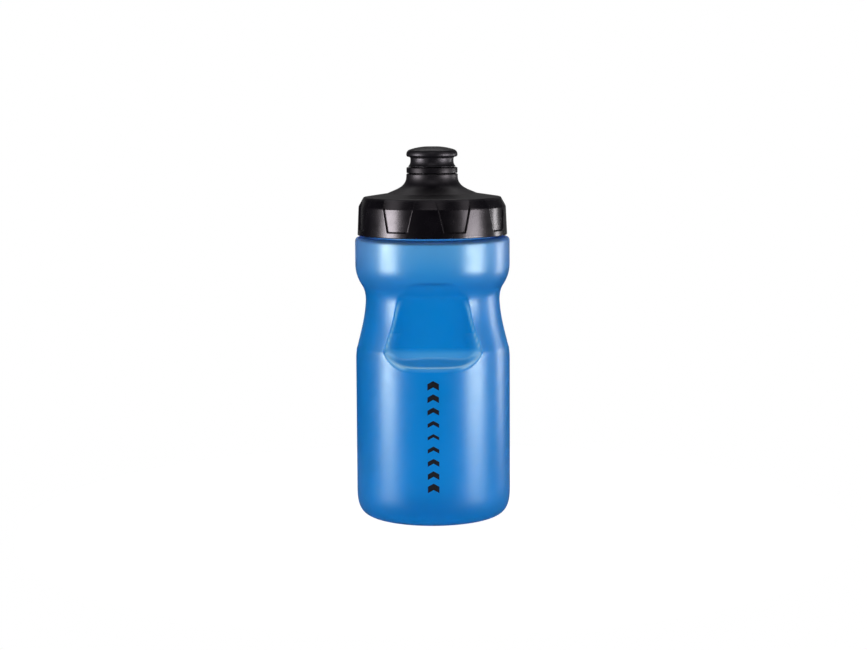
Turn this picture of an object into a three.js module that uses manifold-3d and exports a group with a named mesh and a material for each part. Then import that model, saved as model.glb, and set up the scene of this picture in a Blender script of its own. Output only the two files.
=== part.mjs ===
// A sports squeeze bottle: a waisted body with three thumb scoops, a screw lid and a push-pull spout.
// Millimetres, +Z up. The origin is the centre of the standing ring, and one scoop faces the front, -Y.
// The lid turns anticlockwise, seen from above, to come off. The spout is shown pushed down, which is shut.
import * as THREE from "three";
import { mergeVertices } from "three/addons/utils/BufferGeometryUtils.js";
import Module from "manifold-3d";

const wasm = await Module();
wasm.setup();

// Driving dimensions
const BODY_R = 37.2; // a bicycle's bottle cage holds a body of about 74 mm
const WALL = 1.2; // blown low-density polyethylene
const BODY_TOP = 135.9; // the shelf under the lid
const SHOULDER_R = 37.2;
const WAIST = { r: 32.3, z: 105.5 };
const CREASE = { r: 36.8, z: 83.8 }; // where the body starts to draw in to the waist
const STANDING_RING = { inner: 24.6, outer: 27.5 };
const PUSH_UP = 4.2; // how far the base is domed up inside the ring
const BASE_CORNER_Z = 13.5;
const SCOOPS = 3;
const SCOOP = { floor: 27.3, crease: 80.6, ledgeDrop: 0.5, bottom: 74.6, half: 23.9 }; // drop per mm outwards

const NECK = { r: 31.4, bore: 29.4, top: 147.9 };
const THREAD = { lead: 6, turns: 1.1, root: 1.8, crest: 1.1, gap: 0.3 };
const NECK_THREAD = { crest: 32.7, z: 138.9 };
const LID_THREAD = { crest: 32.1, startTurn: 0.3 };

const LID = { bottom: 136.9, r: 36.0, topR: 35.4, sideTop: 150.6, skirtBore: 33.6 };
const DECK = { edge: 33.1, z: 154.8, inner: 21.7, innerZ: 156.75 };
const BOSS = { r: 12.35, top: 166.15, bore: 9.8, wideBore: 11.0, step: 164.4 };
const ROOF_Z = 152.6; // underside of the deck
const GASKET_SEAT_R = 28.1; // inside this the roof is thinner
const POCKETS = { count: 8, first: 17.25, depth: 0.9, z: 139.6, half: 5.1, topHalf: 7.7 };

const GASKET = { inner: 28.4, outer: 33.2, z: 148.2, thick: 1.4 };
const STEM = { ringR: 12.4, ringBore: 9.9, z: 150.7, thick: 2.0, hub: 3.2, post: 2.4, top: 178.3 };
const SLEEVE = { r: 9.5, bore: 7.6, z: 153.8, flangeR: 12.25, flangeZ: 167.0, flangeTop: 169.2 };
const BEADS = { r: 10.6, lowTop: 155.0, stop: 156.9, stopTop: 157.9 }; // the O-ring lies between them
const SLEEVE_NECK = { r: 8.6, top: 175.2 }; // the part inside the soft nozzle
const O_RING = { r: 10.1, section: 0.55, z: 155.95 };
const NOZZLE = { z: 169.5, bore: 8.9, waist: 10.35, rimR: 12.3, rimZ: 175.5, top: 179.1, hole: 2.9 };

const ROUND = 48; // facets on the large round pieces
const SMALL_ROUND = 32;
const CURVE_STEPS = 6;

const v2 = (x, y) => new THREE.Vector2(x, y);

// A path of lines and curves in the half plane of radius and height, as points.
function outline(draw, steps = CURVE_STEPS) {
  const path = new THREE.Path();
  draw(path);
  const points = path.getPoints(steps);
  return points.filter((p, i) => i === 0 || p.distanceTo(points[i - 1]) > 1e-6);
}

// The solid that an outline sweeps about the Z axis.
function lathe(points, segments = ROUND) {
  const geometry = new THREE.LatheGeometry(points, segments);
  geometry.rotateX(Math.PI / 2);
  return solid(geometry);
}

// A ring with a rectangular section.
function ring(inner, outer, low, high, segments = ROUND) {
  return lathe([v2(inner, low), v2(outer, low), v2(outer, high), v2(inner, high), v2(inner, low)], segments);
}

// A geometry as a manifold-3d solid, with its faces turned outwards.
function solid(geometry) {
  const bare = new THREE.BufferGeometry();
  bare.setAttribute("position", geometry.getAttribute("position"));
  bare.setIndex(geometry.index);
  const merged = mergeVertices(bare, 1e-3);
  const make = (triVerts) =>
    new wasm.Manifold(
      new wasm.Mesh({ numProp: 3, vertProperties: merged.attributes.position.array, triVerts }),
    );
  const triangles = dropSlivers(merged.index.array);
  const made = make(triangles);
  if (made.volume() > 0) return made;
  for (let i = 0; i < triangles.length; i += 3) {
    [triangles[i + 1], triangles[i + 2]] = [triangles[i + 2], triangles[i + 1]];
  }
  return make(triangles);
}

// The triangles that still have three corners once shared vertices are merged.
function dropSlivers(index) {
  const kept = [];
  for (let i = 0; i < index.length; i += 3) {
    const [a, b, c] = [index[i], index[i + 1], index[i + 2]];
    if (a !== b && b !== c && a !== c) kept.push(a, b, c);
  }
  return new Uint32Array(kept);
}

function geometryOf(made) {
  const mesh = made.getMesh();
  const geometry = new THREE.BufferGeometry();
  geometry.setAttribute("position", new THREE.BufferAttribute(mesh.vertProperties, 3));
  geometry.setIndex(new THREE.BufferAttribute(mesh.triVerts, 1));
  return geometry;
}

// A prism of a shape drawn in outward distance and height, which runs across the front.
function acrossPrism(shape, width) {
  const geometry = new THREE.ExtrudeGeometry(shape, {
    depth: width,
    bevelEnabled: false,
    curveSegments: CURVE_STEPS,
  });
  geometry.translate(0, 0, -width / 2);
  const outward = new THREE.Vector3(0, -1, 0);
  const up = new THREE.Vector3(0, 0, 1);
  const basis = new THREE.Matrix4().makeBasis(outward, up, outward.clone().cross(up));
  geometry.applyMatrix4(basis);
  return solid(geometry);
}

// A helical ridge from the radius buried in its wall to its crest. Its ends taper to nothing.
function threadRidge({ buried, crest, z, startTurn }) {
  const steps = Math.round(THREAD.turns * ROUND);
  const taperSteps = 6;
  const positions = [];
  const triangles = [];
  for (let i = 0; i <= steps; i++) {
    const turn = startTurn + (THREAD.turns * i) / steps;
    const angle = turn * 2 * Math.PI;
    const middle = z + THREAD.lead * turn;
    const rise = Math.min(1, (Math.min(i, steps - i) + 0.5) / taperSteps);
    const tip = buried + (crest - buried) * rise;
    const section = [
      [buried, -THREAD.root / 2],
      [tip, -THREAD.crest / 2],
      [tip, THREAD.crest / 2],
      [buried, THREAD.root / 2],
    ];
    for (const [r, dz] of section) positions.push(r * Math.cos(angle), r * Math.sin(angle), middle + dz);
  }
  for (let i = 0; i < steps; i++) {
    for (let k = 0; k < 4; k++) {
      const a = 4 * i + k;
      const b = 4 * i + ((k + 1) % 4);
      triangles.push(a, b, a + 4, b, b + 4, a + 4);
    }
  }
  const last = 4 * steps;
  triangles.push(0, 2, 1, 0, 3, 2, last, last + 1, last + 2, last, last + 2, last + 3);
  const geometry = new THREE.BufferGeometry();
  geometry.setAttribute("position", new THREE.Float32BufferAttribute(positions, 3));
  geometry.setIndex(triangles);
  return solid(geometry);
}

// The body's outer outline, or the inner one when it is drawn in by the wall.
function bodyOutline(inset) {
  const floor = PUSH_UP + inset;
  return (path) => {
    path.moveTo(0, floor);
    path.quadraticCurveTo(STANDING_RING.inner * 0.75, floor, STANDING_RING.inner, inset);
    path.lineTo(STANDING_RING.outer - inset / 2, inset);
    path.bezierCurveTo(34.3 - inset, 1 + inset, BODY_R - inset, 3.3, BODY_R - inset, BASE_CORNER_Z);
    path.lineTo(BODY_R - inset, CREASE.z - 4);
    path.quadraticCurveTo(BODY_R - inset, CREASE.z - 1.2, CREASE.r - inset, CREASE.z);
    path.bezierCurveTo(35.0 - inset, 90.3, WAIST.r + 0.4 - inset, 97.2, WAIST.r - inset, WAIST.z);
    path.quadraticCurveTo(WAIST.r - inset, 110.3 + inset / 3, 34.2 - inset, 113.0 + inset / 2);
    path.quadraticCurveTo(SHOULDER_R - inset, 117.6 + inset / 3, SHOULDER_R - inset, 123);
    path.lineTo(SHOULDER_R - inset, BODY_TOP - 2.2);
    path.quadraticCurveTo(SHOULDER_R - inset, BODY_TOP - inset, 35.4 - inset, BODY_TOP - inset);
  };
}

// The section of a thumb scoop: an arch under the shoulder, a flat floor and a ledge that slopes outwards.
function scoopSection(inset) {
  const shape = new THREE.Shape();
  const arch = 116.2 + inset / 2;
  const floor = SCOOP.floor - inset;
  const ledge = SCOOP.crease - inset / 2;
  const far = 45;
  shape.moveTo(far, arch);
  shape.lineTo(37 - inset, arch);
  shape.quadraticCurveTo(34.4 - inset, arch, 32.7 - inset, 114.1 + inset / 2);
  shape.lineTo(28.6 - inset, 109.6 + inset / 3);
  shape.quadraticCurveTo(27.4 - inset, 106.8, floor, 101);
  shape.lineTo(floor, ledge + 1);
  shape.lineTo(floor + 1, ledge);
  shape.lineTo(far, ledge - SCOOP.ledgeDrop * (far - floor - 1));
  shape.closePath();
  return shape;
}

// The outline of a thumb scoop seen from the front, with rounded lower corners, as a prism.
function scoopWindow(inset) {
  const half = SCOOP.half;
  const low = SCOOP.bottom - inset / 3;
  const shape = new THREE.Shape();
  shape.moveTo(-half - 1.5, 122);
  shape.lineTo(-half, 84);
  shape.bezierCurveTo(-half, 78.5, -half + 6, low, 0, low);
  shape.bezierCurveTo(half - 6, low, half, 78.5, half, 84);
  shape.lineTo(half + 1.5, 122);
  shape.closePath();
  const geometry = new THREE.ExtrudeGeometry(shape, {
    depth: 50,
    bevelEnabled: false,
    curveSegments: 8,
  });
  geometry.rotateX(Math.PI / 2);
  return solid(geometry);
}

function scoopedRound(points, inset) {
  const scoop = acrossPrism(scoopSection(inset), 70).intersect(scoopWindow(inset));
  let made = lathe(points);
  for (let i = 0; i < SCOOPS; i++) {
    made = made.subtract(scoop.rotate([0, 0, (i * 360) / SCOOPS]));
  }
  return made;
}

function bottleBody() {
  const outer = outline((path) => {
    bodyOutline(0)(path);
    path.lineTo(NECK.r, BODY_TOP);
    path.lineTo(NECK.r, NECK.top - 0.4);
    path.lineTo(NECK.r - 0.4, NECK.top);
    path.lineTo(0, NECK.top);
  });
  const inner = outline((path) => {
    bodyOutline(WALL)(path);
    path.lineTo(NECK.bore, BODY_TOP - WALL);
    path.lineTo(NECK.bore, NECK.top + 1);
    path.lineTo(0, NECK.top + 1);
  }, 4);
  const shell = scoopedRound(outer, 0).subtract(scoopedRound(inner, WALL));
  const thread = threadRidge({
    buried: NECK.r - 0.6,
    crest: NECK_THREAD.crest,
    z: NECK_THREAD.z,
    startTurn: 0,
  });
  return shell.add(thread);
}

// The pocket cutter: a band that follows the lid's side and runs out at the deck's edge, cut to a trapezoid.
function lidPocket(turn) {
  const band = lathe([
    v2(LID.r - 0.1 - POCKETS.depth, POCKETS.z),
    v2(45, POCKETS.z),
    v2(45, DECK.z),
    v2(DECK.edge, DECK.z),
    v2(LID.topR - POCKETS.depth, LID.sideTop - 0.4),
    v2(LID.r - 0.1 - POCKETS.depth, POCKETS.z),
  ]);
  const slope = (POCKETS.topHalf - POCKETS.half) / (LID.sideTop - POCKETS.z);
  const top = DECK.z + 1;
  const topHalf = POCKETS.half + slope * (top - POCKETS.z);
  const trapezoid = new THREE.Shape([
    v2(-POCKETS.half, POCKETS.z - 1),
    v2(POCKETS.half, POCKETS.z - 1),
    v2(topHalf, top),
    v2(-topHalf, top),
  ]);
  const geometry = new THREE.ExtrudeGeometry(trapezoid, { depth: 25, bevelEnabled: false });
  geometry.translate(0, 0, 20);
  geometry.rotateX(Math.PI / 2);
  geometry.rotateZ(turn);
  return band.intersect(solid(geometry));
}

function lidShell() {
  const chamfer = 0.5;
  const profile = outline((path) => {
    path.moveTo(LID.skirtBore, LID.bottom);
    path.lineTo(LID.r - chamfer, LID.bottom);
    path.lineTo(LID.r, LID.bottom + chamfer);
    path.lineTo(LID.topR, LID.sideTop);
    path.lineTo(DECK.edge, DECK.z);
    path.lineTo(DECK.edge - 0.5, DECK.z + 0.3);
    path.lineTo(DECK.inner, DECK.innerZ);
    path.bezierCurveTo(17.2, 158.8, BOSS.r, 159.8, BOSS.r, 165.2);
    path.lineTo(BOSS.r, BOSS.top - chamfer);
    path.lineTo(BOSS.r - chamfer, BOSS.top);
    path.lineTo(BOSS.bore, BOSS.top);
    path.lineTo(BOSS.bore, BOSS.step);
    path.lineTo(BOSS.wideBore, BOSS.step);
    path.lineTo(BOSS.wideBore, STEM.z + STEM.thick + 0.3);
    path.lineTo(STEM.ringR + 0.3, STEM.z + STEM.thick + 0.3);
    path.lineTo(STEM.ringR + 0.3, STEM.z - 0.3);
    path.lineTo(STEM.ringR + 1.9, STEM.z - 0.3);
    path.lineTo(STEM.ringR + 1.9, ROOF_Z);
    path.lineTo(GASKET_SEAT_R, ROOF_Z);
    path.lineTo(GASKET_SEAT_R, GASKET.z + GASKET.thick + 0.3);
    path.lineTo(LID.skirtBore, GASKET.z + GASKET.thick + 0.3);
    path.lineTo(LID.skirtBore, LID.bottom);
  });
  const thread = threadRidge({
    buried: LID.skirtBore + 0.6,
    crest: LID_THREAD.crest,
    z: NECK_THREAD.z - THREAD.root - THREAD.gap,
    startTurn: LID_THREAD.startTurn,
  });
  let made = lathe(profile);
  for (let i = 0; i < POCKETS.count; i++) {
    made = made.subtract(lidPocket((i * 2 * Math.PI) / POCKETS.count));
  }
  return made.rotate([0, 0, POCKETS.first]).add(thread);
}

function lidGasket() {
  return ring(GASKET.inner, GASKET.outer, GASKET.z, GASKET.z + GASKET.thick);
}

// The stopper: a ring clipped in under the boss, three spokes and a post whose tip shuts the nozzle's hole.
function valveStem() {
  const spokes = 3;
  const top = STEM.z + STEM.thick;
  let made = ring(STEM.ringBore, STEM.ringR, STEM.z, top, SMALL_ROUND);
  const post = outline((path) => {
    path.moveTo(0, STEM.z);
    path.lineTo(STEM.hub, STEM.z);
    path.lineTo(STEM.hub, top + 1.5);
    path.lineTo(STEM.post, top + 5);
    path.lineTo(STEM.post, STEM.top - 1.2);
    path.quadraticCurveTo(STEM.post, STEM.top, 0, STEM.top);
  }, 3);
  made = made.add(lathe(post, 24));
  for (let i = 0; i < spokes; i++) {
    const length = STEM.ringBore + 0.8 - 1;
    const spoke = new THREE.BoxGeometry(length, 1.8, STEM.thick - 0.4);
    spoke.translate(1 + length / 2, 0, STEM.z + STEM.thick / 2);
    spoke.rotateZ((i * 2 * Math.PI) / spokes);
    made = made.add(solid(spoke));
  }
  return made;
}

// The rigid carrier: two beads about an O-ring groove, a flange and a neck for the nozzle.
// The upper bead meets the boss's step when the spout is pulled up.
function spoutSleeve() {
  return lathe(
    outline((path) => {
      path.moveTo(SLEEVE.bore, SLEEVE.z);
      path.lineTo(BEADS.r - 0.6, SLEEVE.z);
      path.lineTo(BEADS.r, SLEEVE.z + 0.6);
      path.lineTo(BEADS.r, BEADS.lowTop);
      path.lineTo(SLEEVE.r - 0.25, BEADS.lowTop);
      path.lineTo(SLEEVE.r - 0.25, BEADS.stop);
      path.lineTo(BEADS.r, BEADS.stop);
      path.lineTo(BEADS.r, BEADS.stopTop);
      path.lineTo(SLEEVE.r, BEADS.stopTop);
      path.lineTo(SLEEVE.r, SLEEVE.flangeZ);
      path.lineTo(SLEEVE.flangeR - 0.3, SLEEVE.flangeZ);
      path.lineTo(SLEEVE.flangeR, SLEEVE.flangeZ + 0.3);
      path.lineTo(SLEEVE.flangeR, SLEEVE.flangeTop - 0.3);
      path.lineTo(SLEEVE.flangeR - 0.3, SLEEVE.flangeTop);
      path.lineTo(SLEEVE_NECK.r, SLEEVE.flangeTop);
      path.lineTo(SLEEVE_NECK.r, SLEEVE_NECK.top);
      path.lineTo(SLEEVE.bore, SLEEVE_NECK.top);
      path.lineTo(SLEEVE.bore, SLEEVE.z);
    }),
    SMALL_ROUND,
  );
}

function spoutORing() {
  const section = new THREE.EllipseCurve(O_RING.r, O_RING.z, O_RING.section, O_RING.section);
  return lathe(section.getPoints(8), SMALL_ROUND);
}

// The soft mouthpiece: a waist under a rolled rim, and a low dome with the drinking hole.
function spoutNozzle() {
  return lathe(
    outline((path) => {
      path.moveTo(NOZZLE.bore, NOZZLE.z);
      path.lineTo(11.5, NOZZLE.z);
      path.quadraticCurveTo(NOZZLE.waist, 170.6, NOZZLE.waist, 172.3);
      path.lineTo(NOZZLE.waist, 173.2);
      path.quadraticCurveTo(NOZZLE.waist, 174.2, 11.5, 174.2);
      path.quadraticCurveTo(NOZZLE.rimR + 0.1, 174.3, NOZZLE.rimR, NOZZLE.rimZ);
      path.quadraticCurveTo(NOZZLE.rimR - 0.1, 177.2, 10.5, 177.75);
      path.quadraticCurveTo(7.4, 178.8, NOZZLE.hole + 0.7, NOZZLE.top);
      path.lineTo(NOZZLE.hole, NOZZLE.top - 0.5);
      path.lineTo(NOZZLE.hole, 176.4);
      path.lineTo(NOZZLE.bore, 175.5);
      path.lineTo(NOZZLE.bore, NOZZLE.z);
    }, 4),
    SMALL_ROUND,
  );
}

const MATERIALS = {
  translucentBlue: { color: 0x0a6fc0, roughness: 0.38, metalness: 0 },
  blackPolypropylene: { color: 0x141416, roughness: 0.34, metalness: 0 },
  softBlack: { color: 0x1a1a1d, roughness: 0.55, metalness: 0 },
  greySilicone: { color: 0x9a9ca0, roughness: 0.6, metalness: 0 },
};

const group = new THREE.Group();

function place(name, made, material) {
  const mesh = new THREE.Mesh(geometryOf(made), new THREE.MeshStandardMaterial(MATERIALS[material]));
  mesh.name = name;
  group.add(mesh);
}

place("bottle_body", bottleBody(), "translucentBlue");
place("lid_shell", lidShell(), "blackPolypropylene");
place("lid_gasket", lidGasket(), "greySilicone");
place("valve_stem", valveStem(), "blackPolypropylene");
place("spout_sleeve", spoutSleeve(), "blackPolypropylene");
place("spout_o_ring", spoutORing(), "greySilicone");
place("spout_nozzle", spoutNozzle(), "softBlack");

export default group;
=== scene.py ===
"""The looks of a sports squeeze bottle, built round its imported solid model.

The bottle has a frosted blue body with three thumb scoops, a black screw lid with grip
pockets and a soft push-pull spout. The frame is in metres with +Z up, and one scoop faces
-Y. Outlines are drawn in millimetres, in the half plane of radius and height.
"""

import logging
import math
from dataclasses import dataclass, field
from enum import Enum

import bpy
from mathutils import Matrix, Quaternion, Vector


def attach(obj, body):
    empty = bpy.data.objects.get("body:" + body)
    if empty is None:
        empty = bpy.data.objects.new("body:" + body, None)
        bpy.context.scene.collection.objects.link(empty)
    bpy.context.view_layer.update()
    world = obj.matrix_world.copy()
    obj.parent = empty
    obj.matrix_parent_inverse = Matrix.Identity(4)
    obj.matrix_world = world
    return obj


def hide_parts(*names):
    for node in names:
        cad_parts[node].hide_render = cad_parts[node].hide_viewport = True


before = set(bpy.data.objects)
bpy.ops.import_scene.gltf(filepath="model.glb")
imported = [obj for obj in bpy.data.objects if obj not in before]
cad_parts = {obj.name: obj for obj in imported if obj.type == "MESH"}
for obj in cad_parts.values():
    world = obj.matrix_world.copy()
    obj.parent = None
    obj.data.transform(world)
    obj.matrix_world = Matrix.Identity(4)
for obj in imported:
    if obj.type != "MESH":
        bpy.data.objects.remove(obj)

LOG = logging.getLogger("bottle")
MM = 0.001
FRONT = -math.pi / 2
FULL_TURN = 2 * math.pi

Outline = list[tuple[float, float]]
Colour = tuple[float, float, float]
Socket = bpy.types.NodeSocket

# The span that most of a noise's values fall in.
NOISE_SPAN = (0.3, 0.7)


class Body(Enum):
    """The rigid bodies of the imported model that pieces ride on."""

    BOTTLE = "bottle"
    LID = "lid"
    SPOUT = "spout"


class Slot(Enum):
    """The record's material slots."""

    BLUE = "translucent_blue"
    BLACK = "black_polypropylene"
    SOFT = "soft_black"
    SILICONE = "silicone"


# ---------------------------------------------------------------- shapes


class Pen:
    """Draws an outline point by point, in millimetres of radius and height."""

    def __init__(self, r: float, z: float) -> None:
        """Starts an outline.

        Args:
            r: The first point's radius.
            z: The first point's height.
        """
        self.points: Outline = [(r, z)]

    def line(self, r: float, z: float, steps: int = 1) -> "Pen":
        """Draws a straight line.

        Args:
            r: The end's radius.
            z: The end's height.
            steps: How many points the line gets.

        Returns:
            The pen, so that calls can follow each other.
        """
        r0, z0 = self.points[-1]
        for i in range(1, steps + 1):
            t = i / steps
            self.points.append((r0 + (r - r0) * t, z0 + (z - z0) * t))
        return self

    def bend(self, cr: float, cz: float, r: float, z: float, steps: int = 6) -> "Pen":
        """Draws a curve that leans towards one handle.

        Args:
            cr: The handle's radius.
            cz: The handle's height.
            r: The end's radius.
            z: The end's height.
            steps: How many points the curve gets.

        Returns:
            The pen.
        """
        r0, z0 = self.points[-1]
        for i in range(1, steps + 1):
            t = i / steps
            a, b, c = (1 - t) ** 2, 2 * (1 - t) * t, t * t
            self.points.append((a * r0 + b * cr + c * r, a * z0 + b * cz + c * z))
        return self

    def sweep(
        self,
        first: tuple[float, float],
        second: tuple[float, float],
        end: tuple[float, float],
        steps: int = 12,
    ) -> "Pen":
        """Draws a curve with two handles.

        Args:
            first: The handle that the curve leaves towards.
            second: The handle that it arrives from.
            end: Its last point.
            steps: How many points the curve gets.

        Returns:
            The pen.
        """
        start = self.points[-1]
        for i in range(1, steps + 1):
            t = i / steps
            w = ((1 - t) ** 3, 3 * (1 - t) ** 2 * t, 3 * (1 - t) * t * t, t**3)
            corners = (start, first, second, end)
            self.points.append(
                (
                    sum(k * p[0] for k, p in zip(w, corners)),
                    sum(k * p[1] for k, p in zip(w, corners)),
                )
            )
        return self


def smooth_least(a: float, b: float, blend: float) -> float:
    """Takes the lesser of two lengths, rounded over where they cross.

    Args:
        a: One length.
        b: The other length.
        blend: How close the two are where the rounding starts.

    Returns:
        The rounded lesser length.
    """
    near = max(blend - abs(a - b), 0.0) / blend
    return min(a, b) - near * near * blend / 4


def held(value: float) -> float:
    """Holds a value between 0 and 1."""
    return min(max(value, 0.0), 1.0)


def swell(value: float, middle: float, width: float) -> float:
    """A bell curve that is 1 where the value is at its middle."""
    return math.exp(-(((value - middle) / width) ** 2))


def ring_point(r: float, angle: float, z: float) -> Vector:
    """The point at a radius, an angle and a height in millimetres, in metres."""
    return Vector((r * math.cos(angle), r * math.sin(angle), z)) * MM


def mesh_object(
    name: str,
    points: list[Vector],
    faces: list[tuple[int, ...]],
    crease_deg: float = 40.0,
) -> bpy.types.Object:
    """Makes a smooth-shaded mesh object whose sharp corners stay sharp.

    Args:
        name: The piece's name.
        points: Its vertices in metres.
        faces: Its faces as vertex numbers.
        crease_deg: Edges bent by more than this are shaded sharp.

    Returns:
        The new object, linked to the scene.
    """
    mesh = bpy.data.meshes.new(name)
    mesh.from_pydata(points, [], faces)
    mesh.validate()
    mesh.polygons.foreach_set("use_smooth", [True] * len(mesh.polygons))
    mesh.set_sharp_from_angle(angle=math.radians(crease_deg))
    mesh.update()
    made = bpy.data.objects.new(name, mesh)
    bpy.context.scene.collection.objects.link(made)
    return made


def ringed_object(
    name: str, rings: list[list[Vector]], closed: bool, crease_deg: float = 40.0
) -> bpy.types.Object:
    """Joins rings of points into a skin.

    Args:
        name: The piece's name.
        rings: The rings in order, each with the same number of points, or with one
            point where the skin meets the axis.
        closed: True if the last ring joins the first.
        crease_deg: Edges bent by more than this are shaded sharp.

    Returns:
        The new object.
    """
    points: list[Vector] = []
    starts: list[int] = []
    for ring in rings:
        starts.append(len(points))
        points.extend(ring)
    faces: list[tuple[int, ...]] = []
    pairs = [(i, i + 1) for i in range(len(rings) - 1)]
    if closed:
        pairs.append((len(rings) - 1, 0))
    for low, high in pairs:
        a, b = starts[low], starts[high]
        count = max(len(rings[low]), len(rings[high]))
        for j in range(count):
            k = (j + 1) % count
            if len(rings[low]) == 1:
                faces.append((a, b + k, b + j))
            elif len(rings[high]) == 1:
                faces.append((a + j, a + k, b))
            else:
                faces.append((a + j, a + k, b + k, b + j))
    return mesh_object(name, points, faces, crease_deg)


def turned_object(
    name: str, outline: Outline, columns: int, closed: bool = True, crease_deg: float = 40.0
) -> bpy.types.Object:
    """Turns an outline about the axis.

    Args:
        name: The piece's name.
        outline: The outline in millimetres, anticlockwise round the material.
        columns: How many points each ring gets.
        closed: True if the last point joins the first.
        crease_deg: Edges bent by more than this are shaded sharp.

    Returns:
        The new object.
    """
    rings = []
    for r, z in outline:
        if r < 1e-6:
            rings.append([ring_point(0, 0, z)])
        else:
            rings.append([ring_point(r, FULL_TURN * j / columns, z) for j in range(columns)])
    return ringed_object(name, rings, closed, crease_deg)


@dataclass
class ThreadRidge:
    """A helical ridge whose two ends taper into the wall it stands on."""

    name: str
    buried: float
    crest: float
    start_z: float
    start_turn: float
    lead: float = 6.0
    turns: float = 1.1
    root_width: float = 1.8
    crest_width: float = 1.1
    columns: int = 144

    def build(self) -> bpy.types.Object:
        """Builds the ridge.

        Returns:
            The new object.
        """
        steps = round(self.turns * self.columns)
        taper = self.columns // 8
        points: list[Vector] = []
        for i in range(steps + 1):
            turn = self.start_turn + self.turns * i / steps
            rise = min(1.0, (min(i, steps - i) + 0.5) / taper)
            rise = rise * rise * (3 - 2 * rise)
            tip = self.buried + (self.crest - self.buried) * rise
            middle = self.start_z + self.lead * turn
            soft = 0.15 * (tip - self.buried)
            section = (
                (self.buried, -self.root_width / 2),
                (tip - soft, -self.crest_width / 2 - 0.05),
                (tip, -self.crest_width / 2 + 0.2),
                (tip, self.crest_width / 2 - 0.2),
                (tip - soft, self.crest_width / 2 + 0.05),
                (self.buried, self.root_width / 2),
            )
            points += [ring_point(r, FULL_TURN * turn, middle + dz) for r, dz in section]
        faces: list[tuple[int, ...]] = []
        for i in range(steps):
            for k in range(6):
                a, b = 6 * i + k, 6 * i + (k + 1) % 6
                faces.append((b, a, a + 6, b + 6))
        faces += [tuple(range(6)), tuple(reversed(range(6 * steps, 6 * steps + 6)))]
        if self.crest < self.buried:
            faces = [tuple(reversed(f)) for f in faces]
        return mesh_object(self.name, points, faces)


# ---------------------------------------------------------------- finishes


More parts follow.
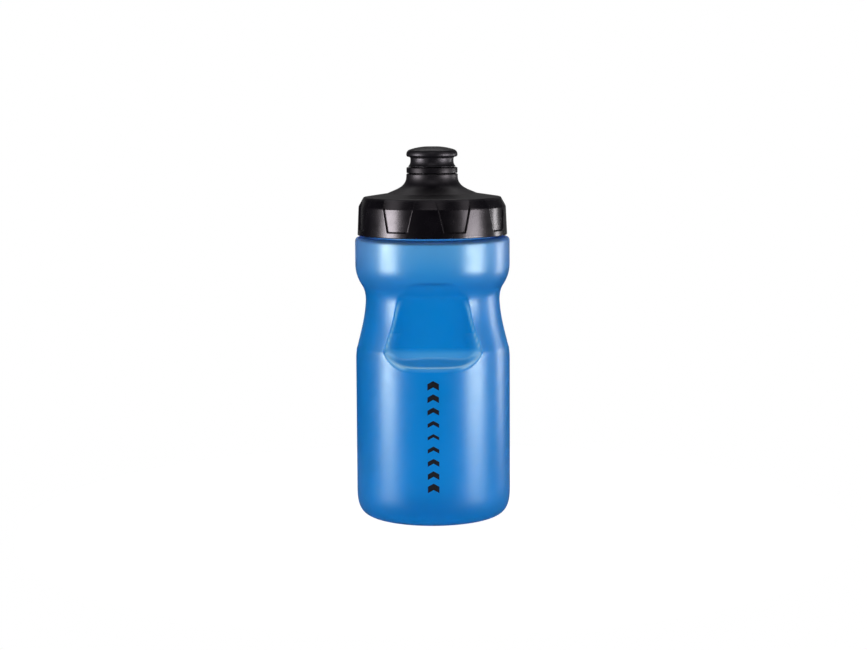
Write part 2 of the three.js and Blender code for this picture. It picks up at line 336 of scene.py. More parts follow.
class NodeBench:
    """Lays out the nodes of one material."""

    def __init__(self, name: str) -> None:
        """Starts a material that holds a Principled shader.

        Args:
            name: The material's name.
        """
        self.material = bpy.data.materials.new(name)
        self.material.use_nodes = True
        self.tree = self.material.node_tree
        self.shader = self.tree.nodes["Principled BSDF"]
        self.coordinates = self.tree.nodes.new("ShaderNodeTexCoord").outputs["Object"]

    def set(self, **values: float | tuple[float, ...]) -> None:
        """Sets constants on the shader's sockets, named with underscores."""
        for name, value in values.items():
            self.shader.inputs[name.replace("_", " ")].default_value = value

    def noise(self, scale: float, detail: float = 3.0) -> Socket:
        """A noise over the piece, with its scale in features per metre."""
        node = self.tree.nodes.new("ShaderNodeTexNoise")
        node.inputs["Scale"].default_value = scale
        node.inputs["Detail"].default_value = detail
        self.tree.links.new(self.coordinates, node.inputs["Vector"])
        return node.outputs["Fac"]

    def ranged(
        self,
        value: Socket,
        source: tuple[float, float],
        target: tuple[float, float] = (0.0, 1.0),
        smooth: bool = False,
    ) -> Socket:
        """Maps a value from one range to another.

        Args:
            value: The value.
            source: The range that it comes in.
            target: The range that it leaves in.
            smooth: True if it eases in and out.

        Returns:
            The mapped value.
        """
        node = self.tree.nodes.new("ShaderNodeMapRange")
        if smooth:
            node.interpolation_type = "SMOOTHSTEP"
        ends = zip(("From Min", "From Max", "To Min", "To Max"), (*source, *target))
        for name, end in ends:
            node.inputs[name].default_value = end
        self.tree.links.new(value, node.inputs["Value"])
        return node.outputs["Result"]

    def colours(self, factor: Socket, low: Colour, high: Colour) -> None:
        """Drives the base colour between two colours.

        Args:
            factor: The noise that chooses between them.
            low: The colour at its low end.
            high: The colour at its high end.
        """
        node = self.tree.nodes.new("ShaderNodeValToRGB")
        for element, place, colour in zip(node.color_ramp.elements, NOISE_SPAN, (low, high)):
            element.position = place
            element.color = (*colour, 1)
        self.tree.links.new(factor, node.inputs["Fac"])
        self.tree.links.new(node.outputs["Color"], self.shader.inputs["Base Color"])

    def height(self, low_mm: float, high_mm: float) -> Socket:
        """Maps the height on the object to 0 at the low level and 1 at the high one."""
        split = self.tree.nodes.new("ShaderNodeSeparateXYZ")
        self.tree.links.new(self.coordinates, split.inputs["Vector"])
        return self.ranged(split.outputs["Z"], (low_mm * MM, high_mm * MM), smooth=True)

    def mark(self, name: str) -> Socket:
        """Reads a value from 0 to 1 that is kept on the piece's points."""
        node = self.tree.nodes.new("ShaderNodeAttribute")
        node.attribute_name = name
        return node.outputs["Fac"]

    def overlay(self, factor: Socket, colour: Colour) -> None:
        """Mixes one more colour into the base colour.

        Args:
            factor: How much of the colour shows.
            colour: The colour.
        """
        under = self.shader.inputs["Base Color"].links[0].from_socket
        node = self.tree.nodes.new("ShaderNodeMix")
        node.data_type = "RGBA"
        node.inputs[7].default_value = (*colour, 1)
        self.tree.links.new(factor, node.inputs["Factor"])
        self.tree.links.new(under, node.inputs[6])
        self.tree.links.new(node.outputs[2], self.shader.inputs["Base Color"])

    def absorb(self, colour: Colour, density: float) -> None:
        """Lets the plastic take up light along its depth.

        Args:
            colour: The colour that passes.
            density: How strongly the rest is taken up, per metre.
        """
        node = self.tree.nodes.new("ShaderNodeVolumeAbsorption")
        node.inputs["Color"].default_value = (*colour, 1)
        node.inputs["Density"].default_value = density
        output = self.tree.nodes["Material Output"]
        self.tree.links.new(node.outputs["Volume"], output.inputs["Volume"])

    def cloud(self, factor: Socket, clear: float, cloudy: float) -> None:
        """Lets less light through in one region.

        Args:
            factor: Where the region is, from 0 to 1.
            clear: The share of light let through where it is 0.
            cloudy: The share where it is 1.
        """
        share = self.ranged(factor, (0.0, 1.0), (clear, cloudy))
        self.tree.links.new(share, self.shader.inputs["Transmission Weight"])

    def roughness(self, factor: Socket, low: float, high: float) -> None:
        """Drives the roughness between two values.

        Args:
            factor: The noise that chooses between them.
            low: The roughness at its low end.
            high: The roughness at its high end.
        """
        mapped = self.ranged(factor, NOISE_SPAN, (low, high))
        self.tree.links.new(mapped, self.shader.inputs["Roughness"])

    def roughen(self, factor: Socket, more: float) -> None:
        """Adds to the roughness in one region.

        Args:
            factor: Where the region is, from 0 to 1.
            more: How much is added where it is 1.
        """
        under = self.shader.inputs["Roughness"].links[0].from_socket
        node = self.tree.nodes.new("ShaderNodeMath")
        node.operation = "MULTIPLY_ADD"
        node.inputs[1].default_value = more
        self.tree.links.new(factor, node.inputs[0])
        self.tree.links.new(under, node.inputs[2])
        self.tree.links.new(node.outputs["Value"], self.shader.inputs["Roughness"])

    def grain(self, height: Socket, strength: float, depth_mm: float) -> None:
        """Adds a relief to the surface.

        Args:
            height: The relief's height from 0 to 1.
            strength: How much of it shows.
            depth_mm: How tall it is.
        """
        node = self.tree.nodes.new("ShaderNodeBump")
        node.inputs["Strength"].default_value = strength
        node.inputs["Distance"].default_value = depth_mm * MM
        self.tree.links.new(height, node.inputs["Height"])
        self.tree.links.new(node.outputs["Normal"], self.shader.inputs["Normal"])


@dataclass(frozen=True)
class FrostedPolyethylene:
    """Blown low-density polyethylene, tinted through, with a painted light veil at the shoulder
    and painted highlights on the scoops.
    """

    deep: Colour = (0.0, 0.54, 0.79)
    pale: Colour = (0.004, 0.555, 0.81)
    # Painted light: the pale veil mixed in between these two heights.
    painted_veil: Colour = (0.34, 0.735, 0.86)
    painted_veil_from: float = 108.0
    painted_veil_to: float = 133.0
    # Painted highlight colour for the marked ledge, ridge, crease and lip.
    painted_light: Colour = (0.60, 0.90, 1.0)
    clearness: float = 0.92
    # Share of light let through where the painted highlight is full.
    painted_light_clearness: float = 0.45
    passing: Colour = (0.0, 0.15, 1.0)
    uptake: float = 200.0
    sheen: Colour = (0.88, 1.0, 0.88)

    def material(self) -> bpy.types.Material:
        """Makes the material."""
        bench = NodeBench("frosted_blue_polyethylene")
        bench.set(IOR=1.5, Specular_Tint=(*self.sheen, 1))
        # Painted highlight: the marked ledge, ridge, crease and lip let less light through, so
        # they read paler and brighter.
        bench.cloud(bench.mark("painted_lightness"), self.clearness, self.painted_light_clearness)
        bench.colours(bench.noise(45.0, 2.0), self.deep, self.pale)
        # Painted light: a pale veil mixed in towards the shoulder stands in for the light that
        # falls there.
        bench.overlay(bench.height(self.painted_veil_from, self.painted_veil_to), self.painted_veil)
        # Painted highlight: the marked ledge, ridge, crease and lip are mixed towards a pale
        # colour.
        bench.overlay(bench.mark("painted_lightness"), self.painted_light)
        bench.roughness(bench.noise(160.0), 0.30, 0.36)
        bench.grain(bench.noise(2600.0, 2.0), 0.12, 0.05)
        bench.absorb(self.passing, self.uptake)
        return bench.material


@dataclass(frozen=True)
class MouldedPolypropylene:
    """Black satin polypropylene with a fine spark-eroded grain, coarser on top of the lid."""

    name: str = "black_satin_polypropylene"
    deep: Colour = (0.002, 0.0017, 0.0028)
    pale: Colour = (0.0035, 0.003, 0.0045)
    smooth: float = 0.24
    rough: float = 0.28
    gloss: float = 0.42
    sheen: Colour = (1.0, 0.90, 0.98)
    top_matt: float = 0.18
    top_from: float = 153.6
    top_to: float = 155.2

    def material(self) -> bpy.types.Material:
        """Makes the material."""
        bench = NodeBench(self.name)
        bench.set(IOR=1.49, Specular_IOR_Level=self.gloss, Specular_Tint=(*self.sheen, 1))
        bench.colours(bench.noise(120.0), self.deep, self.pale)
        bench.roughness(bench.noise(240.0), self.smooth, self.rough)
        if self.top_matt:
            bench.roughen(bench.height(self.top_from, self.top_to), self.top_matt)
        bench.grain(bench.noise(2600.0, 2.0), 0.012, 0.02)
        return bench.material


@dataclass(frozen=True)
class SoftElastomer:
    """Matt black thermoplastic elastomer with a faint bloom."""

    def material(self) -> bpy.types.Material:
        """Makes the material."""
        bench = NodeBench("soft_black_elastomer")
        bench.set(IOR=1.5, Specular_IOR_Level=0.45, Specular_Tint=(0.98, 0.90, 1.0, 1))
        bench.colours(bench.noise(260.0, 5.0), (0.0025, 0.0023, 0.0034), (0.0045, 0.0042, 0.0058))
        bench.roughness(bench.noise(700.0), 0.36, 0.46)
        bench.grain(bench.noise(5200.0, 4.0), 0.2, 0.03)
        return bench.material


@dataclass(frozen=True)
class Silicone:
    """Grey moulded silicone, slightly dusty."""

    def material(self) -> bpy.types.Material:
        """Makes the material."""
        bench = NodeBench("grey_silicone")
        bench.colours(bench.noise(300.0), (0.40, 0.41, 0.43), (0.50, 0.51, 0.53))
        bench.roughness(bench.noise(900.0), 0.5, 0.65)
        bench.grain(bench.noise(6000.0), 0.15, 0.02)
        return bench.material


@dataclass(frozen=True)
class PrintInk:
    """Screen-printed black ink with a slight unevenness."""

    def material(self) -> bpy.types.Material:
        """Makes the material."""
        bench = NodeBench("black_print_ink")
        bench.colours(bench.noise(900.0, 4.0), (0.002, 0.002, 0.003), (0.006, 0.006, 0.008))
        bench.roughness(bench.noise(1500.0), 0.38, 0.5)
        bench.grain(bench.noise(7000.0), 0.2, 0.02)
        return bench.material


def seen_directly(tree: bpy.types.NodeTree, dim: float, full: float) -> Socket:
    """Makes a strength that is full on sight and through the body, and dim in reflections.

    Args:
        tree: The nodes to add to.
        dim: The strength in reflections and as a source of light.
        full: The strength on sight.

    Returns:
        The strength.
    """
    path = tree.nodes.new("ShaderNodeLightPath")
    either = tree.nodes.new("ShaderNodeMath")
    either.operation = "MAXIMUM"
    tree.links.new(path.outputs["Is Camera Ray"], either.inputs[0])
    tree.links.new(path.outputs["Is Transmission Ray"], either.inputs[1])
    strength = tree.nodes.new("ShaderNodeMapRange")
    strength.inputs["To Min"].default_value = dim
    strength.inputs["To Max"].default_value = full
    tree.links.new(either.outputs[0], strength.inputs["Value"])
    return strength.outputs["Result"]


@dataclass(frozen=True)
class PaleFloor:
    """A plain pale studio floor."""

    def material(self) -> bpy.types.Material:
        """Makes the material."""
        bench = NodeBench("pale_floor")
        bench.set(Roughness=0.9, Specular_IOR_Level=0.1, Emission_Color=(1, 1, 1, 1))
        bench.colours(bench.noise(3.0), (0.14, 0.14, 0.14), (0.16, 0.16, 0.16))
        glow = seen_directly(bench.tree, 0.05, 1.0)
        bench.tree.links.new(glow, bench.shader.inputs["Emission Strength"])
        return bench.material


def dress(piece: bpy.types.Object, material: bpy.types.Material) -> None:
    """Gives a piece one material in place of any it has.

    Args:
        piece: The object to dress.
        material: Its new material.
    """
    piece.data.materials.clear()
    piece.data.materials.append(material)


# ---------------------------------------------------------------- body


@dataclass(frozen=True)
class ThumbScoop:
    """A hollow for the thumb: an arch, a flat floor and a ledge inside a rounded lower rim."""

    floor: float = 26.9
    rim: float = 28.9
    rim_slope: float = 0.085
    rim_z: float = 81.5
    side_steepness: float = 1.6
    bottom: float = 74.1
    corner_rise: float = 7.4
    half_width: float = 23.4
    roll: float = 2.1
    ledge_steepness: float = 2.3
    low: float = 73.6
    high: float = 117.4
    ledge_top: float = 92.0
    lip_top: float = 108.0

    def floor_depths(self, inset: float) -> Outline:
        """Draws how far the floor and the arch above it lie from the axis.

        Args:
            inset: How far inside the outer surface the section runs.

        Returns:
            Pairs of distance and height, from low to high.
        """
        pen = Pen(self.floor - inset, self.low - 1)
        pen.line(self.floor - inset, 88.0)
        pen.bend(self.floor - 0.2 - inset, 95.0, 27.0 - inset, 101.0, 8)
        pen.bend(27.2 - inset, 106.3, 28.6 - inset, 109.6 + inset / 3, 10)
        pen.line(32.7 - inset, 114.1 + inset / 2)
        pen.bend(34.2 - inset, 115.7 + inset / 2, 36.3 - inset, 116.2 + inset / 2, 8)
        pen.line(46.0 - inset, self.high + inset)
        return pen.points

    def rise(self, share: float, z: float, inset: float = 0.0) -> float:
        """Finds how far inside the lower rim a point lies.

        Args:
            share: The point's share of the scoop's half width.
            z: Its height.
            inset: How far inside the outer surface it is.

        Returns:
            The distance, square to the rim.
        """
        bottom = self.bottom - inset / 3 + self.corner_rise * share**5
        tilt = 5 * self.corner_rise * share**4 / self.half_width
        return (z - bottom) / math.hypot(1, tilt)

    def ledge_cut(self, rise: float) -> float:
        """How deep the lower rim and the ledge cut at a distance inside the rim.

        Args:
            rise: The distance inside the rim.

        Returns:
            The depth: a soft roll at first, then the ledge behind a firm edge.
        """
        edge, soft = 0.9, 0.6
        if rise <= 0:
            return 0.0
        if rise < self.roll:
            return edge * rise * rise / (2 * self.roll)
        rolled = edge * self.roll / 2
        past = min(rise - self.roll, soft)
        turned = edge * past + (self.ledge_steepness - edge) * past * past / (2 * soft)
        return rolled + turned + self.ledge_steepness * max(rise - self.roll - soft, 0.0)

    def depth(self, across: float, z: float, body: float, floor: float, inset: float) -> float:
        """Finds how far the surface lies in front of the axis.

        Args:
            across: The distance to the side of the scoop's middle.
            z: The height.
            body: The body's radius at that height.
            floor: The floor's distance from the axis.
            inset: How far inside the outer surface this is.

        Returns:
            The distance in front of the axis.
        """
        uncut = math.sqrt(max(body * body - across * across, 0.0))
        share = min(abs(across) / self.half_width, 1.15)
        lower = uncut - self.ledge_cut(self.rise(share, z, inset))
        rim = self.rim - inset - self.rim_slope * max(z - self.rim_z, 0.0)
        over, soft = uncut - rim, 0.45
        if over < soft:
            over = max(over + soft, 0.0) ** 2 / (4 * soft)
        side = uncut - self.side_steepness * over
        wall = -smooth_least(-lower, -side, 1.2)
        flat = smooth_least(uncut, floor, 0.5)
        return min(uncut, -smooth_least(-flat, -wall, 0.9))

    def painted_lightness(self, r: float, z: float, offset: float, body: float, floor: float) -> float:
        """How much painted highlight lightens the surface on the ledge, its ridge and crease, and
        along the lip.

        Args:
            r: The surface's radius.
            z: The height.
            offset: The point's angle from the scoop's middle.
            body: The body's radius at that height.
            floor: The floor's distance from the axis.

        Returns:
            The share from 0 to 1.
        """
        across, out = r * math.sin(offset), r * math.cos(offset)
        cut = math.sqrt(max(body * body - across * across, 0.0)) - out
        if cut < 0.05:
            return 0.0
        share = min(abs(across) / self.half_width, 1.15)
        grown = held(cut / 0.5)
        # Painted highlight along the lip of the scoop's sides.
        lip = 0.8 * swell(cut, 0.5, 0.5) * held((share - 0.5) / 0.12)
        if z > self.ledge_top:
            return lip * grown * held((self.lip_top - z) / 4)
        middle = held(4.2 - 4.5 * share)
        # Painted highlights on the ridge and in the crease, and painted lightening of the ledge
        # face.
        ridge = 0.95 * swell(self.rise(share, z), self.roll + 0.4, 0.34) * middle
        behind = out - floor
        crease = 0.55 * swell(behind, 0.5, 0.7) * held((85 - z) / 3)
        wall = held(behind / 1.5) * (0.22 + 0.2 * min(share**3, 1.0))
        return held(ridge + crease + wall + lip) * grown

    def cut(self, body: float, z: float, offset: float, floor: float, inset: float) -> float:
        """Finds the radius at which a ray from the axis leaves the scooped body.

        Args:
            body: The body's radius at this height.
            z: The height.
            offset: The ray's angle from the scoop's middle.
            floor: The floor's distance from the axis.
            inset: How far inside the outer surface this is.

        Returns:
            The radius.
        """
        near, far = 0.6 * body, body
        for _ in range(16):
            r = (near + far) / 2
            if r * math.cos(offset) < self.depth(r * math.sin(offset), z, body, floor, inset):
                near = r
            else:
                far = r
        return far


@dataclass
class BottleBody:
    """The blown body: a waisted round shell with three thumb scoops and a threaded neck."""

    radius: float = 37.2
    wall: float = 1.2
    top: float = 135.9
    shoulder: float = 37.2
    waist: tuple[float, float] = (32.3, 105.5)
    crease: tuple[float, float] = (36.8, 83.8)
    ring_inner: float = 24.6
    ring_outer: float = 27.5
    push_up: float = 4.2
    corner_z: float = 13.5
    neck: float = 31.4
    mouth: float = 29.4
    neck_top: float = 147.9
    scoops: int = 3
    scoop: ThumbScoop = ThumbScoop()
    # Painted highlight shares, one for each point of the shell.
    painted_light: list[float] = field(default_factory=list)
    made: list[bpy.types.Object] = field(default_factory=list)

    def half_outline(self, inset: float) -> Outline:
        """Draws the body from the base's centre to the edge of its top shelf.

        Args:
            inset: How far inside the outer surface the outline runs.

        Returns:
            The outline.
        """
        r, shoulder, top = self.radius - inset, self.shoulder - inset, self.top - inset
        waist_r, waist_z = self.waist
        crease_r, crease_z = self.crease
        pen = Pen(0, self.push_up + inset)
        pen.bend(self.ring_inner * 0.75, self.push_up + inset, self.ring_inner, inset, 10)
        pen.line(self.ring_outer - inset / 2, inset, 3)
        pen.sweep((34.3 - inset, 1.0 + inset), (r, 3.3), (r, self.corner_z), 18)
        pen.line(r, 73.2, 14)
        pen.line(r, crease_z - 4, 22)
        pen.bend(r, crease_z - 1.2, crease_r - inset, crease_z, 12)
        pen.sweep(
            (35.0 - inset, 90.3), (waist_r + 0.4 - inset, 97.2), (waist_r - inset, waist_z), 28
        )
        pen.bend(waist_r - inset, 110.3 + inset / 3, 34.2 - inset, 113.0 + inset / 2, 16)
        pen.bend(shoulder, 117.6 + inset / 3, shoulder, 123.0, 20)
        pen.line(shoulder, self.top - 2.2, 6)
        pen.bend(shoulder, top, 35.4 - inset, top, 8)
        return pen.points

    def columns(self) -> list[tuple[float, float]]:
        """Spaces the shell's columns, closest where the scoops' rims run.

        Returns:
            Pairs of angle about the axis and angle from the nearest scoop's middle.
        """
        half = [0.0, 3.0, 6.0, 9.0, 12.0, 14.5, 17.0, 19.0]
        half += [20.5 + 1.0 * i for i in range(24)]
        half += [46.0, 49.5, 53.0, 57.0]
        offsets = [-d for d in reversed(half[1:])] + half
        spaced = []
        for i in range(self.scoops):
            middle = FRONT + FULL_TURN * i / self.scoops
            spaced += [(middle + math.radians(d), math.radians(d)) for d in offsets]
        return spaced

    def ring(
        self, r: float, z: float, floors: Outline, inset: float, columns: list[tuple[float, float]]
    ) -> list[Vector]:
        """Makes one ring of the shell, cut back by the scoops.

        Args:
            r: The ring's radius away from the scoops.
            z: Its height.
            floors: The section of the scoops' floor.
            inset: How far inside the outer surface the ring is.
            columns: The angles of its points.

        Returns:
            The ring's points.
        """
        if r < 1e-6:
            self.painted_light.append(0.0)
            return [ring_point(0, 0, z)]
        if not self.scoop.low < z < self.scoop.high:
            self.painted_light += [0.0] * len(columns)
            return [ring_point(r, angle, z) for angle, _ in columns]
        above = next(i for i, p in enumerate(floors) if p[1] >= z)
        (d0, z0), (d1, z1) = floors[above - 1], floors[above]
        floor = d0 + (d1 - d0) * (z - z0) / (z1 - z0)
        cuts = {}
        for _, offset in columns:
            key = round(abs(offset), 6)
            if key not in cuts:
                cut = self.scoop.cut(r, z, key, floor, inset)
                cuts[key] = (cut, self.scoop.painted_lightness(cut, z, key, r, floor))
        points = []
        for angle, offset in columns:
            cut, painted_light = cuts[round(abs(offset), 6)]
            points.append(ring_point(cut, angle, z))
            # Painted highlight goes on the outer surface only.
            self.painted_light.append(painted_light if inset == 0 else 0.0)
        return points

    def build(self) -> None:
        """Builds the shell and the thread on its neck."""
        columns = self.columns()
        outer, inner = self.scoop.floor_depths(0), self.scoop.floor_depths(self.wall)
        rings = [self.ring(r, z, outer, 0, columns) for r, z in self.half_outline(0)]
        neck = Pen(35.4, self.top)
        neck.line(self.neck + 0.6, self.top, 3)
        neck.bend(self.neck, self.top, self.neck, self.top + 0.6, 4)
        neck.line(self.neck, self.neck_top - 0.4, 4)
        neck.bend(self.neck, self.neck_top, self.neck - 0.4, self.neck_top, 4)
        neck.line(self.mouth + 0.4, self.neck_top)
        neck.bend(self.mouth, self.neck_top, self.mouth, self.neck_top - 0.4, 4)
        neck.line(self.mouth, self.top - self.wall + 0.6, 4)
        neck.bend(self.mouth, self.top - self.wall, self.mouth + 0.6, self.top - self.wall, 4)
        rings += [self.ring(r, z, outer, 0, columns) for r, z in neck.points[1:]]
        inside = reversed(self.half_outline(self.wall))
        rings += [self.ring(r, z, inner, self.wall, columns) for r, z in inside]
        shell = ringed_object("bottle_shell", rings, closed=False, crease_deg=60)
        # The painted highlight shares are kept on the shell's points for its material.
        painted_lightness = shell.data.attributes.new("painted_lightness", "FLOAT", "POINT")
        painted_lightness.data.foreach_set("value", self.painted_light)
        thread = ThreadRidge("neck_thread", self.neck - 0.1, 32.7, 138.9, 0.0).build()
        self.made = [shell, thread]

    def dress(self) -> None:
        """Gives the body its finish and fixes it to the frame."""
        finish = FrostedPolyethylene().material()
        for piece in self.made:
            dress(piece, finish)
            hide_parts("bottle_body")
            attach(piece, Body.BOTTLE.value)


@dataclass
class ChevronPrint:
    """A printed column of plain chevrons on the body's straight side, under each scoop."""

    radius: float = 37.2
    film: float = 0.03
    bottom: float = 17.7
    height: float = 53.1
    half_width: float = 2.7
    count: int = 9
    rise: float = 1.5
    columns: int = 16
    made: list[bpy.types.Object] = field(default_factory=list)

    def chevron(self, index: int, middle: float) -> tuple[list[Vector], list[tuple[int, ...]]]:
        """Makes one chevron as a thin curved plate.

        Args:
            index: Which chevron it is, from the lowest.
            middle: The print's angle about the axis.

        Returns:
            Its points and faces.
        """
        away = abs(index - (self.count - 1) / 2) / ((self.count - 1) / 2)
        stroke = 1.5 + 1.5 * away
        pitch = (self.height - self.rise - 3.0) / (self.count - 1)
        base = self.bottom + pitch * index + (3.0 - stroke) / 2
        points: list[Vector] = []
        for i in range(self.columns + 1):
            x = self.half_width * (2 * i / self.columns - 1)
            low = base + self.rise * (1 - abs(x) / self.half_width)
            for r in (self.radius + 0.01, self.radius + 0.01 + self.film):
                angle = middle + x / self.radius
                points += [ring_point(r, angle, low), ring_point(r, angle, low + stroke)]
        faces: list[tuple[int, ...]] = []
        for i in range(self.columns):
            a, b = 4 * i, 4 * i + 4
            faces.append((a + 2, b + 2, b + 3, a + 3))
            faces.append((a, a + 1, b + 1, b))
            faces.append((a, b, b + 2, a + 2))
            faces.append((a + 1, a + 3, b + 3, b + 1))
        last = 4 * self.columns
        faces += [(0, 2, 3, 1), (last, last + 1, last + 3, last + 2)]
        return points, faces

    def build(self) -> None:
        """Builds one print under each scoop."""
        for k in range(3):
            points: list[Vector] = []
            faces: list[tuple[int, ...]] = []
            for i in range(self.count):
                new_points, new_faces = self.chevron(i, FRONT + FULL_TURN * k / 3)
                faces += [tuple(v + len(points) for v in f) for f in new_faces]
                points += new_points
            self.made.append(mesh_object(f"chevron_print_{k + 1}", points, faces, 30))

    def dress(self) -> None:
        """Inks the prints and fixes them to the body."""
        ink = PrintInk().material()
        for piece in self.made:
            dress(piece, ink)
            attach(piece, Body.BOTTLE.value)


# ---------------------------------------------------------------- lid


@dataclass(frozen=True)
class LidRow:
    """One level of the lid's outside: where it runs between pockets and inside one."""

    r: float
    z: float
    pocket_r: float
    pocket_z: float


@dataclass
class ScrewLid:
    """The moulded lid: skirt with eight grip pockets, deck, dome and spout boss."""

    bottom: float = 136.9
    radius: float = 36.0
    top_radius: float = 35.4
    side_top: float = 150.6
    skirt_bore: float = 33.6
    deck_edge: tuple[float, float] = (33.1, 154.8)
    deck_inner: tuple[float, float] = (21.7, 156.75)
    boss: float = 12.35
    boss_top: float = 166.15
    pockets: int = 8
    first_deg: float = 17.25
    pocket_depth: float = 0.9
    pocket_z: float = 139.6
    pocket_half: float = 5.1
    pocket_top_half: float = 7.7
    made: list[bpy.types.Object] = field(default_factory=list)

    def side_radius(self, z: float) -> float:
        """The radius of the drafted side at a height."""
        t = (z - self.bottom) / (self.side_top - self.bottom)
        return self.radius + (self.top_radius - self.radius) * t

    def floor_radius(self, z: float) -> float:
        """The radius of a pocket's floor at a height on the side."""
        t = (z - self.pocket_z) / (self.side_top - self.pocket_z)
        low = self.radius - 0.1 - self.pocket_depth
        return low + (self.top_radius - self.pocket_depth - low) * t

    def side_rows(self) -> list[LidRow]:
        """Lists the levels from the skirt's lower edge to the deck's edge.

        Returns:
            The levels, from low to high.
        """
        rows = [LidRow(r, z, r, z) for r, z in self.skirt_edge()]
        for z in (137.9, 138.6, self.pocket_z - 0.4):
            rows.append(LidRow(self.side_radius(z), z, self.side_radius(z), z))
        steps = ((-0.2, 0), (-0.1, 0.1), (-0.04, 0.4), (0.04, 0.75), (0.12, 0.95), (0.25, 1))
        for dz, depth in steps:
            z = self.pocket_z + dz
            side, floor = self.side_radius(z), self.floor_radius(z)
            rows.append(LidRow(side, z, side + (floor - side) * depth, z))
        for i in range(9):
            z = self.pocket_z + 0.6 + (self.side_top - 0.5 - self.pocket_z - 0.6) * i / 8
            rows.append(LidRow(self.side_radius(z), z, self.floor_radius(z), z))
        edge_r, edge_z = self.deck_edge
        floor_top = (self.floor_radius(self.side_top - 0.4), self.side_top - 0.4)
        for t in (-0.06, -0.03, 0.0, 0.03, 0.06, 0.1, 0.3, 0.5, 0.7, 0.9, 0.97):
            rise = max(t, 0.0)
            r = self.top_radius + (edge_r - self.top_radius) * rise
            z = self.side_top + (edge_z - self.side_top) * rise
            if t < 0:
                r, z = self.side_radius(self.side_top + 4 * t), self.side_top + 4 * t
            ease = 0.07 * max(0.0, 1 - abs(t) / 0.05)
            floor_r = floor_top[0] + (edge_r - floor_top[0]) * rise
            floor_z = floor_top[1] + (edge_z - floor_top[1]) * rise
            if t < 0:
                floor_r, floor_z = self.floor_radius(z - 0.35), z - 0.35
            rows.append(LidRow(r - ease, z, min(floor_r, r), floor_z))
        return rows

    def skirt_edge(self) -> Outline:
        """The rounded lower edge of the skirt."""
        pen = Pen(self.skirt_bore, self.bottom)
        pen.line(self.radius - 0.45, self.bottom, 2)
        pen.bend(self.radius, self.bottom, self.radius, self.bottom + 0.45, 4)
        return pen.points

    def top_and_inside(self) -> Outline:
        """Draws the deck, the dome and boss, and the lid's inside.

        Returns:
            The outline, from the deck's edge to the skirt's bore.
        """
        edge_r, edge_z = self.deck_edge
        pen = Pen(edge_r, edge_z)
        pen.bend(edge_r - 0.2, edge_z + 0.24, edge_r - 0.6, edge_z + 0.32, 4)
        pen.line(*self.deck_inner, 6)
        pen.sweep((17.2, 158.8), (self.boss - 0.1, 159.8), (self.boss, 165.2), 22)
        pen.line(self.boss, self.boss_top - 0.45, 2)
        pen.bend(self.boss, self.boss_top, self.boss - 0.45, self.boss_top, 4)
        pen.line(10.1, self.boss_top)
        pen.bend(9.8, self.boss_top, 9.8, self.boss_top - 0.3, 3)
        pen.line(9.8, 164.4).line(11.0, 164.4).line(11.0, 153.0).line(12.7, 153.0)
        pen.line(12.7, 150.4).line(14.3, 150.4).line(14.3, 152.6).line(28.1, 152.6, 2)
        pen.line(28.1, 149.9).line(33.6, 149.9)
        return pen.points

    def columns(self) -> list[tuple[float, float, float, float]]:
        """Spaces the columns of one pocket and the land beside it.

        Returns:
            For each column: its share of the pocket's half width, its offset from that
            in millimetres, its share of the land, and its depth from 0 to 1.
        """
        inset = 0.45
        wall = ((-0.24, 1.0), (-0.12, 0.96), (-0.04, 0.72), (0.04, 0.3), (0.12, 0.05), (0.24, 0.0))
        spaced = [(-1.0, -dx, 0.0, depth) for dx, depth in reversed(wall)]
        spaced += [(f / 4, -inset * f / 4, 0.0, 1.0) for f in range(-4, 5)]
        spaced += [(1.0, dx, 0.0, depth) for dx, depth in wall]
        spaced += [(1.0, inset, share, 0.0) for share in (0.0, 0.2, 0.4, 0.6, 0.8, 1.0)]
        return spaced

    def half_angle(self, z: float) -> float:
        """The half angle of a pocket's opening at a height."""
        slope = (self.pocket_top_half - self.pocket_half) / (self.side_top - self.pocket_z)
        return math.asin((self.pocket_half + slope * (z - self.pocket_z)) / 35.0)

    def ring(self, row: LidRow) -> list[Vector]:
        """Makes one ring of the lid.

        Args:
            row: The level to make.

        Returns:
            The ring's points.
        """
        pitch = FULL_TURN / self.pockets
        half = self.half_angle(row.z)
        points = []
        for k in range(self.pockets):
            middle = FRONT + math.radians(self.first_deg) + pitch * k
            for part, offset, share, depth in self.columns():
                angle = part * half + offset / 35.0
                if share:
                    angle += share * (pitch - 2 * half - 2 * 0.45 / 35.0)
                r = row.r + (row.pocket_r - row.r) * depth
                z = row.z + (row.pocket_z - row.z) * depth
                points.append(ring_point(r, middle + angle, z))
        return points

    def build(self) -> None:
        """Builds the lid and the thread inside its skirt."""
        rings = [self.ring(row) for row in self.side_rows()]
        rings += [self.ring(LidRow(r, z, r, z)) for r, z in self.top_and_inside()]
        shell = ringed_object("lid_cover", rings, closed=True, crease_deg=50)
        thread = ThreadRidge("lid_thread", self.skirt_bore + 0.1, 32.1, 136.8, 0.3).build()
        self.made = [shell, thread]

    def dress(self) -> None:
        """Gives the lid, its washer and its stopper their finishes."""
        black = MouldedPolypropylene().material()
        for piece in self.made:
            dress(piece, black)
            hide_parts("lid_shell")
            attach(piece, Body.LID.value)
        dress(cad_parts["valve_stem"], black)
        dress(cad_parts["lid_gasket"], Silicone().material())


# ---------------------------------------------------------------- spout


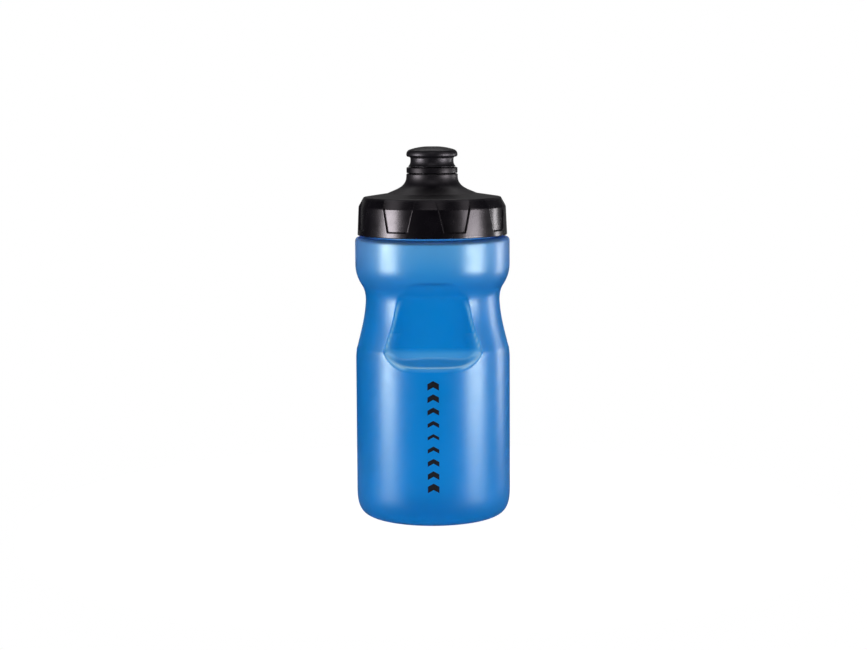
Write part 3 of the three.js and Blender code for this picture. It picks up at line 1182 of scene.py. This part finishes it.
@dataclass
class PushPullSpout:
    """The spout: a rigid sleeve with a flange, and the soft nozzle pressed over it."""

    sleeve: float = 9.5
    bore: float = 7.6
    flange: float = 12.25
    flange_z: float = 166.45
    flange_top: float = 169.2
    rim: float = 12.3
    rim_z: float = 175.5
    waist: float = 10.35
    top: float = 179.1
    hole: float = 2.9
    made: list[bpy.types.Object] = field(default_factory=list)

    def sleeve_outline(self) -> Outline:
        """The sleeve's section, with two beads about the groove for its ring."""
        pen = Pen(self.bore, 153.8)
        pen.line(10.0, 153.8).line(10.6, 154.4).line(10.6, 155.0).line(9.25, 155.0)
        pen.line(9.25, 156.9).line(10.6, 156.9).line(10.6, 157.9).line(self.sleeve, 157.9)
        pen.line(self.sleeve, self.flange_z, 3)
        pen.line(self.flange - 0.4, self.flange_z)
        pen.bend(self.flange, self.flange_z, self.flange, self.flange_z + 0.4, 4)
        pen.line(self.flange, self.flange_top - 0.4, 2)
        pen.bend(self.flange, self.flange_top, self.flange - 0.4, self.flange_top, 4)
        pen.line(8.6, self.flange_top, 2).line(8.6, 175.2).line(self.bore, 175.2)
        return pen.points

    def nozzle_outline(self) -> Outline:
        """The nozzle's section: a waist, a rolled rim and a low dome."""
        pen = Pen(8.9, 169.5)
        pen.line(11.2, 169.5).bend(11.45, 169.5, 11.4, 169.7, 3)
        pen.bend(self.waist, 170.7, self.waist, 172.3, 8)
        pen.line(self.waist, 173.2, 2)
        pen.bend(self.waist, 174.2, 11.4, 174.2, 6)
        pen.bend(self.rim + 0.05, 174.3, self.rim, self.rim_z, 8)
        pen.bend(self.rim - 0.1, 177.2, 10.5, 177.75, 8)
        pen.bend(7.4, 178.8, self.hole + 0.7, self.top, 8)
        pen.bend(self.hole, self.top, self.hole, self.top - 0.6, 5)
        pen.line(self.hole, 176.4, 2).line(8.9, 175.5)
        return pen.points

    def build(self) -> None:
        """Builds the sleeve and the nozzle."""
        sleeve = turned_object("spout_carrier", self.sleeve_outline(), 96, crease_deg=50)
        nozzle = turned_object("soft_nozzle", self.nozzle_outline(), 96, crease_deg=60)
        self.made = [sleeve, nozzle]

    def dress(self) -> None:
        """Gives the spout and its ring their finishes."""
        sleeve, nozzle = self.made
        matt = MouldedPolypropylene(
            "black_matt_polypropylene", smooth=0.38, rough=0.46, gloss=0.25, top_matt=0.0
        )
        dress(sleeve, matt.material())
        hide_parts("spout_sleeve")
        dress(nozzle, SoftElastomer().material())
        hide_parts("spout_nozzle")
        for piece in self.made:
            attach(piece, Body.SPOUT.value)
        dress(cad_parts["spout_o_ring"], Silicone().material())


# ---------------------------------------------------------------- studio


@dataclass(frozen=True)
class StripLight:
    """A tall soft box, placed by its bearing from the front and aimed at the bottle."""

    name: str
    bearing_deg: float
    distance: float
    centre_z: float
    width: float
    height: float
    power: float
    overhead: bool = False

    def build(self) -> None:
        """Hangs the light."""
        lamp = bpy.data.lights.new(self.name, "AREA")
        lamp.shape = "RECTANGLE"
        lamp.size, lamp.size_y = self.width, self.height
        lamp.energy = self.power
        holder = bpy.data.objects.new(self.name, lamp)
        bearing = math.radians(self.bearing_deg)
        holder.location = (
            self.distance * math.sin(bearing),
            -self.distance * math.cos(bearing),
            self.centre_z,
        )
        aim = Vector((0, 0, self.centre_z)) - holder.location
        if self.overhead:
            aim = Vector((0, 0, 0.11)) - holder.location
        holder.rotation_euler = aim.to_track_quat("-Z", "Y").to_euler()
        holder.visible_camera = holder.visible_transmission = False
        bpy.context.scene.collection.objects.link(holder)


@dataclass
class Studio:
    """A plain pale floor, a white surround, soft boxes and the camera."""

    eye: tuple[float, float, float] = (0.00033, -0.950, 0.198)
    target: tuple[float, float, float] = (0.00033, 0.0, 0.093)
    roll_deg: float = -0.31
    lens: float = 82.0
    surround: float = 0.012
    table_radius: float = 0.20
    strips: tuple[StripLight, ...] = (
        StripLight("left_strip", -67.5, 0.62, 0.09, 0.25, 0.24, 4.4),
        StripLight("left_upper", -67.5, 0.62, 0.46, 0.25, 0.50, 0.5),
        StripLight("right_strip", 64.0, 0.62, 0.055, 0.29, 0.17, 4.0),
        StripLight("right_upper", 63.5, 0.62, 0.46, 0.30, 0.50, 0.6),
        StripLight("rim_strip", 116.0, 0.62, 0.075, 0.08, 0.23, 0.85),
        StripLight("top_box", 0.0, 1.0, 1.05, 0.7, 0.5, 1.6, True),
        StripLight("crown_box", 180.0, 0.35, 0.80, 0.6, 0.5, 1.2, True),
        StripLight("back_card", 180.0, 0.9, 0.45, 1.2, 0.8, 0.4),
    )

    def camera(self) -> None:
        """Sets up the camera."""
        data = bpy.data.cameras.new("camera")
        data.lens, data.sensor_width = self.lens, 36.0
        holder = bpy.data.objects.new("camera", data)
        holder.location = self.eye
        aim = Vector(self.target) - Vector(self.eye)
        turned = aim.to_track_quat("-Z", "Y") @ Quaternion((0, 0, 1), math.radians(self.roll_deg))
        holder.rotation_euler = turned.to_euler()
        bpy.context.scene.collection.objects.link(holder)
        bpy.context.scene.camera = holder

    def world(self) -> None:
        """Makes a surround that is white behind the bottle and dimmer in reflections."""
        world = bpy.data.worlds.new("surround")
        world.use_nodes = True
        bpy.context.scene.world = world
        strength = seen_directly(world.node_tree, self.surround, 1.0)
        backdrop = world.node_tree.nodes["Background"]
        backdrop.inputs["Color"].default_value = (1, 1, 1, 1)
        world.node_tree.links.new(strength, backdrop.inputs["Strength"])

    def floor(self) -> None:
        """Lays the floor under the bottle."""
        r = self.table_radius / MM
        pen = Pen(0, 0).line(r - 2, 0, 4).bend(r, 0, r, -2, 4).line(r, -6)
        floor = turned_object("floor", pen.points, 96, closed=False)
        dress(floor, PaleFloor().material())

    def build(self) -> None:
        """Builds the whole studio."""
        bpy.context.scene.view_settings.view_transform = "Standard"
        self.camera()
        self.world()
        self.floor()
        for strip in self.strips:
            strip.build()


# ---------------------------------------------------------------- the whole bottle


def main() -> None:
    """Builds the studio and the bottle."""
    logging.basicConfig(level=logging.INFO, format="%(name)s: %(message)s")
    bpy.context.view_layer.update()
    Studio().build()
    for part in (BottleBody(), ChevronPrint(), ScrewLid(), PushPullSpout()):
        part.build()
        part.dress()
        for piece in part.made:
            LOG.info("%s has %d faces", piece.name, len(piece.data.polygons))


if __name__ == "__main__":
    main()
